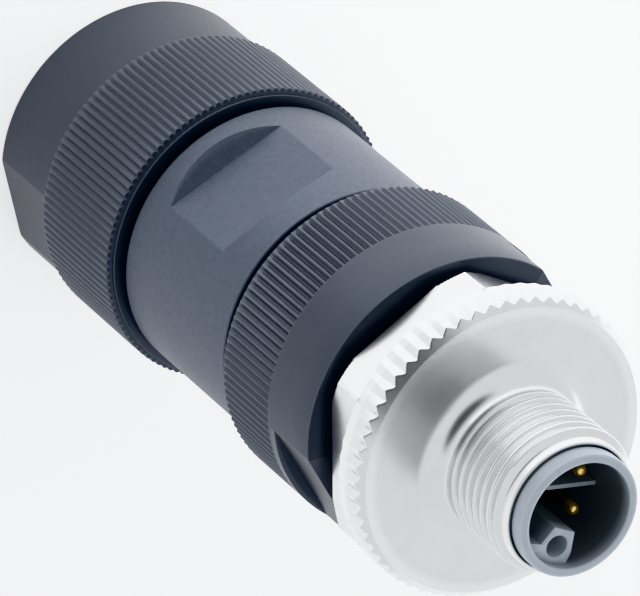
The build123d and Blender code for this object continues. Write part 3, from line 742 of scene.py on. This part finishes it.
# %% Shroud
SHROUD_R = STEM_BORE_R - 0.22
RIM_R = STEM_BORE_R - 0.08
RIM_REAR = INSERT_FRONT - 1.35
CAVITY_R = 4.28
CAVITY_FLOOR = INSERT_FRONT - 10.2
MOUTH_SHADE_START = 0.15
MOUTH_SHADE_END = 1.3
BASE_FRONT = INSERT_REAR + 4.3
SHROUD_COLUMNS = 192
MOUTH_ROW = 0.5
SHROUD_LINE = add_rows(rounded_line([
    (0.0, INSERT_REAR, 0.0), (INSERT_R, INSERT_REAR, 0.2), (INSERT_R, BASE_FRONT, 0.2),
    (SHROUD_R, BASE_FRONT, 0.05), (SHROUD_R, RIM_REAR, 0.05), (RIM_R, RIM_REAR, 0.06),
    (RIM_R, INSERT_FRONT, 0.28), (CAVITY_R, INSERT_FRONT, 0.25), (CAVITY_R, CAVITY_FLOOR, 0.15),
    (0.0, CAVITY_FLOOR, 0.0),
]), MOUTH_ROW, closed=False)


def painted_mouth_shade(height):
    """Painted shade of the mouth: 0 just below the shroud's rim and 1 about a millimetre further down,
    eased between them.
    """
    return smooth_step(INSERT_FRONT - MOUTH_SHADE_START, INSERT_FRONT - MOUTH_SHADE_END, height)


def shroud():
    """Solid of revolution along SHROUD_LINE, from the axis under the base to the axis on the floor."""
    azimuth = columns_of(SHROUD_COLUMNS)
    radius = SHROUD_LINE[:, :1] * np.ones_like(azimuth)
    points = ring_points(radius, SHROUD_LINE[:, 1:], azimuth)
    # Painted shade on the inner wall and floor of the mouth.
    deep = painted_mouth_shade(points[..., 2]) * (radius < CAVITY_R + 0.01)
    return surface("insert_shroud", points, closed_rows=False, deep=deep)


place(shroud(), "carrier_body", PALE, "pale_plastic", "contact_insert")

# %% Tower and ribs
CONTACT_AZIMUTH = 20.0
CONTACT_STEP = 72
RIB_TURNS = (108, 252)
EARTH_PITCH_R = 2.95
TOWER_TOP = INSERT_FRONT - 0.9
SOCKET_HOLE_R = 0.87
RIB_TOP = INSERT_FRONT - 4.7
TOWER_LIFT = 0.9
RIB_LIFT = 4.55
RIB_HALF = 0.17
FOOT = CAVITY_FLOOR - 0.1
TOWER_COLUMNS = 360
TOWER_OUTLINE = [
    (1.54, 0.98), (3.1, 1.5), (4.2, 1.5), (4.45, 0.0), (4.2, -1.5), (3.6, -2.7), (3.1, -2.7), (3.1, -1.5),
    (1.54, -0.98),
]


def reach(corners, direction):
    """Distance from the origin to the first edge of a closed outline along each direction (radians)."""
    a = np.array(corners, float)[None]
    edge = np.roll(a, -1, axis=1) - a
    way = np.stack([np.cos(direction), np.sin(direction)], axis=-1)[:, None]
    cross = way[..., 0] * edge[..., 1] - way[..., 1] * edge[..., 0]
    cross = np.where(np.abs(cross) < 1e-9, 1e-9, cross)
    along = (a[..., 0] * edge[..., 1] - a[..., 1] * edge[..., 0]) / cross
    share = (a[..., 0] * way[..., 1] - a[..., 1] * way[..., 0]) / cross
    hit = (along > 0) & (share >= -1e-6) & (share <= 1 + 1e-6)
    return np.where(hit, along, np.inf).min(axis=1)


def turned(u, v, height, azimuth_deg):
    """Points whose first coordinate runs along an azimuth and whose second runs across it; all in mm."""
    turn = math.radians(azimuth_deg)
    x = u * math.cos(turn) - v * math.sin(turn)
    y = u * math.sin(turn) + v * math.cos(turn)
    return np.stack([x, y, np.broadcast_to(height, x.shape)], axis=-1)


def tower():
    """Polar grid round the hole: up the hole, over its lip and the top, over the outer edge and down the
    side. Each row is a fixed distance plus a share (0 or 1) of the distance to the outline."""
    angle = columns_of(TOWER_COLUMNS)[0]
    wall = reach(np.array(TOWER_OUTLINE) - (EARTH_PITCH_R, 0), angle)
    rows = np.array([
        (SOCKET_HOLE_R, 0, FOOT), (SOCKET_HOLE_R, 0, TOWER_TOP - 0.1),
        (SOCKET_HOLE_R + 0.03, 0, TOWER_TOP - 0.03), (SOCKET_HOLE_R + 0.09, 0, TOWER_TOP),
        (-0.08, 1, TOWER_TOP), (-0.02, 1, TOWER_TOP - 0.03),
        (0, 1, TOWER_TOP - 0.1), (0, 1, TOWER_TOP - 1.5), (0, 1, TOWER_TOP - 3.0), (0, 1, FOOT),
    ])
    away = rows[:, :1] + rows[:, 1:2] * wall[None]
    along = EARTH_PITCH_R + away * np.cos(angle)
    points = turned(along, away * np.sin(angle), rows[:, 2:], CONTACT_AZIMUTH)
    # Painted shade down the tower, from just below its top.
    return surface("insert_tower", points, deep=painted_mouth_shade(points[..., 2] + TOWER_LIFT))


def rib(name, azimuth_deg):
    """Thin wall from the axis to the shroud: a strip outline, shrunk to its middle at foot and top."""
    middle = CAVITY_R / 2
    u = np.array([-middle, middle + 0.1, middle + 0.1, -middle, -middle - 0.1])
    v = RIB_HALF * np.array([-1.0, -1.0, 1.0, 1.0, 0.0])
    rows = np.array([(0, FOOT), (1, FOOT), (1, RIB_TOP - 0.06), (0.98, RIB_TOP), (0, RIB_TOP)])
    points = turned(middle + rows[:, :1] * u, rows[:, :1] * v, rows[:, 1:], azimuth_deg)
    # Painted shade down the ribs.
    return surface(name, points, closed_rows=False, deep=painted_mouth_shade(points[..., 2] + RIB_LIFT))


place(tower(), "carrier_body", PALE, "pale_plastic")
for number, rib_turn in enumerate(RIB_TURNS, 1):
    place(rib(f"insert_rib_{number}", CONTACT_AZIMUTH + rib_turn), "carrier_body", PALE, "pale_plastic")

# %% [markdown]
# ## Contact pins
# The pins are turned and gold plated. Their barrels, with the holes for wire and screw, stay as solids. The
# slim part in the plug's mouth could stay too, but a thin skin over it gives the bullet nose, half an
# ellipse, and carries the painted shade of the mouth. The four share one line, moved sideways to their
# places on the pitch circle.

# %% Contact pins
PITCH_R = 2.72
SKIN = 0.005
PIN_R = 0.5 + SKIN
PIN_NOSE = 0.7
PIN_COLUMNS = 48
NOSE_ROWS = 9
PIN_LIFT = INSERT_FRONT - PIN_TIP
NOSE_TURN = np.linspace(0, math.pi / 2, NOSE_ROWS)
PIN_LINE = add_rows(np.vstack([
    np.array([(0, CAVITY_FLOOR - 0.05), (PIN_R, CAVITY_FLOOR - 0.05)]),
    np.stack([
        PIN_R * np.cos(NOSE_TURN), PIN_TIP + SKIN - PIN_NOSE * (1 - np.sin(NOSE_TURN)),
    ], axis=1),
]), MOUTH_ROW, closed=False)


def pin(number):
    """Solid of revolution along PIN_LINE about the pin's own place on the pitch circle."""
    turn = math.radians(CONTACT_AZIMUTH + CONTACT_STEP * number)
    centre = (PITCH_R * math.cos(turn), PITCH_R * math.sin(turn))
    azimuth = columns_of(PIN_COLUMNS)
    radius = PIN_LINE[:, :1] * np.ones_like(azimuth)
    points = ring_points(radius, PIN_LINE[:, 1:], azimuth, centre)
    # Painted shade on the pin, darker down from its tip.
    deep = painted_mouth_shade(points[..., 2] + PIN_LIFT)
    return surface(f"contact_pin_skin_{number}", points, closed_rows=False, deep=deep)


for number in range(1, 5):
    place(pin(number), "carrier_body", GOLD, "gold")

# %% [markdown]
# ## Pieces kept from the CAD
# The seals, the cage, the terminal block with its screws, the contacts' barrels and the clip already have
# their true shape and mostly hide inside, so they keep their solids and get the same finishes.

# %% CAD finishes
CAD_FINISH = {
    "gland_seal": BLACK, "front_seal": BLACK, "cable_seal": BLACK, "clamp_cage": GREY,
    "terminal_block": SLATE, "retaining_ring": STEEL, "pe_socket": GOLD,
}
for number in range(1, 5):
    CAD_FINISH[f"contact_pin_{number}"] = GOLD
for number in range(1, 6):
    CAD_FINISH[f"terminal_screw_{number}"] = STEEL
    CAD_FINISH[f"wire_guard_{number}"] = STEEL
for name, material in CAD_FINISH.items():
    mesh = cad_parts[name].data
    mesh.materials.clear()
    mesh.materials.append(material)
print("CAD nodes painted", len(CAD_FINISH))

# %% [markdown]
# ## Floor
# The plug stands on its nut on a plain pale floor. Dark plastic is almost only what it mirrors, and the
# upright walls mirror the floor close by, so the floor glows a little like a light table, more on one side
# than on the other. A lamp from above would do the same but would also bleach the shroud's rim.

# %% Floor
FLOOR_HALF = 3.0
GLOW_LEFT = -0.034
GLOW_RIGHT = 0.012
GLOW = 0.6
DIM = 0.8
BRIGHT = 2.0
floor_mesh = bpy.data.meshes.new("floor")
floor_corners = [
    (-FLOOR_HALF, -FLOOR_HALF, 0), (FLOOR_HALF, -FLOOR_HALF, 0), (FLOOR_HALF, FLOOR_HALF, 0),
    (-FLOOR_HALF, FLOOR_HALF, 0),
]
floor_mesh.from_pydata(floor_corners, [], [(0, 1, 2, 3)])
floor = bpy.data.objects.new("floor", floor_mesh)
bpy.context.scene.collection.objects.link(floor)


def light_table():
    """Pale floor whose glow fades along X from one side of the object to the other."""
    paint = finish(
        "Floor", dark=(0.74, 0.74, 0.74), light=(0.76, 0.76, 0.76), edge=(0.76, 0.76, 0.76),
        roughness=0.7, scale=300, depth=0.02, mottle=20.0,
    )
    tree = paint.node_tree
    shader = tree.nodes["Principled BSDF"]
    shader.inputs["Emission Strength"].default_value = GLOW
    place_in = node(tree, "ShaderNodeTexCoord")
    split = node(tree, "ShaderNodeSeparateXYZ")
    fade = node(tree, "ShaderNodeMapRange", interpolation_type="SMOOTHSTEP")
    fade.inputs["From Min"].default_value = GLOW_RIGHT
    fade.inputs["From Max"].default_value = GLOW_LEFT
    glow = node(tree, "ShaderNodeMix", data_type="RGBA")
    glow.inputs["A"].default_value = (DIM, DIM, DIM, 1)
    glow.inputs["B"].default_value = (BRIGHT, BRIGHT, BRIGHT, 1)
    tree.links.new(place_in.outputs["Object"], split.inputs["Vector"])
    tree.links.new(split.outputs["X"], fade.inputs["Value"])
    tree.links.new(fade.outputs["Result"], glow.inputs["Factor"])
    tree.links.new(glow.outputs["Result"], shader.inputs["Emission Color"])
    return paint


floor_mesh.materials.append(light_table())

# %% [markdown]
# ## Light
# A bright dome stands for the studio. It has one soft dark patch where the photographer would stand, which
# draws the dark arc on the fillet and keeps the chamfers and slopes that face forward dark. One soft lamp
# behind adds shine.


# %% Light
def pose_matrix(axes, origin):
    """Matrix whose columns are three axes and an origin."""
    table = np.eye(4)
    table[:3, :3] = np.stack(axes, axis=1)
    table[:3, 3] = origin
    return Matrix(table.tolist())


def soft_light(name, place_at, aim, size, watts):
    """A square area light at one place, turned to face the aim point."""
    lamp = bpy.data.lights.new(name, "AREA")
    lamp.size = size
    lamp.energy = watts
    made = bpy.data.objects.new(name, lamp)
    bpy.context.scene.collection.objects.link(made)
    back = np.array(place_at) - np.array(aim)
    back = back / np.linalg.norm(back)
    side = np.cross((0.0, 0.0, 1.0), back)
    side = side / np.linalg.norm(side)
    made.matrix_world = pose_matrix((side, np.cross(back, side), back), place_at)


def studio_world(bright, dark, strength, dark_way, widening, inner_deg, outer_deg):
    """A bright dome with one soft dark patch: dark up to the inner angle from a direction, bright from the
    outer. Directions are first squeezed along X, so that the patch is wider than high."""
    squeeze = np.array((1 / widening, 1.0, 1.0))
    centre = squeeze * dark_way
    world = bpy.data.worlds.new("studio")
    world.use_nodes = True
    tree = world.node_tree
    way = node(tree, "ShaderNodeTexCoord")
    squeezed = node(tree, "ShaderNodeVectorMath", operation="MULTIPLY")
    squeezed.inputs[1].default_value = squeeze
    unit = node(tree, "ShaderNodeVectorMath", operation="NORMALIZE")
    near = node(tree, "ShaderNodeVectorMath", operation="DOT_PRODUCT")
    near.inputs[1].default_value = centre / np.linalg.norm(centre)
    patch = node(tree, "ShaderNodeMapRange", interpolation_type="SMOOTHSTEP")
    patch.inputs["From Min"].default_value = math.cos(math.radians(outer_deg))
    patch.inputs["From Max"].default_value = math.cos(math.radians(inner_deg))
    shade = node(tree, "ShaderNodeMix", data_type="RGBA")
    shade.inputs["A"].default_value = (*bright, 1)
    shade.inputs["B"].default_value = (*dark, 1)
    tree.links.new(way.outputs["Generated"], squeezed.inputs[0])
    tree.links.new(squeezed.outputs["Vector"], unit.inputs[0])
    tree.links.new(unit.outputs["Vector"], near.inputs[0])
    tree.links.new(near.outputs["Value"], patch.inputs["Value"])
    tree.links.new(patch.outputs["Result"], shade.inputs["Factor"])
    tree.links.new(shade.outputs["Result"], tree.nodes["Background"].inputs["Color"])
    tree.nodes["Background"].inputs["Strength"].default_value = strength
    return world


PATCH_AZIMUTH = math.radians(-89)
PATCH_ELEVATION = math.radians(32)
PATCH_WAY = (
    math.cos(PATCH_ELEVATION) * math.cos(PATCH_AZIMUTH),
    math.cos(PATCH_ELEVATION) * math.sin(PATCH_AZIMUTH),
    math.sin(PATCH_ELEVATION),
)
soft_light("back key", place_at=(-0.1, 0.66, 0.22), aim=(0.0, 0.0, 0.035), size=0.35, watts=1)
bpy.context.scene.world = studio_world(
    bright=(0.97, 0.985, 1.0), dark=(0.1, 0.1, 0.11), strength=1.0, dark_way=PATCH_WAY, widening=2.4,
    inner_deg=9, outer_deg=25,
)
bpy.context.scene.view_settings.view_transform = "Khronos PBR Neutral"

# %% [markdown]
# ## Camera
# The camera was fitted to the turned edges in the photograph: circles of known radius and height give its
# place, its three axes and its lens.

# %% Camera
CAMERA_RIGHT = (-0.646314, 0.576482, 0.499946)
CAMERA_UP = (-0.763071, -0.488119, -0.42363)
CAMERA_BACK = (-0.000182, -0.655292, 0.755375)
CAMERA_PLACE = (0.0, -0.376832, 0.464279)
lens = bpy.data.cameras.new("camera")
lens.lens = 421.9
lens.sensor_width = 36.0
lens.clip_start = 0.01
camera = bpy.data.objects.new("camera", lens)
bpy.context.scene.collection.objects.link(camera)
camera.matrix_world = pose_matrix((CAMERA_RIGHT, CAMERA_UP, CAMERA_BACK), CAMERA_PLACE)
bpy.context.scene.camera = camera
print("stage set")
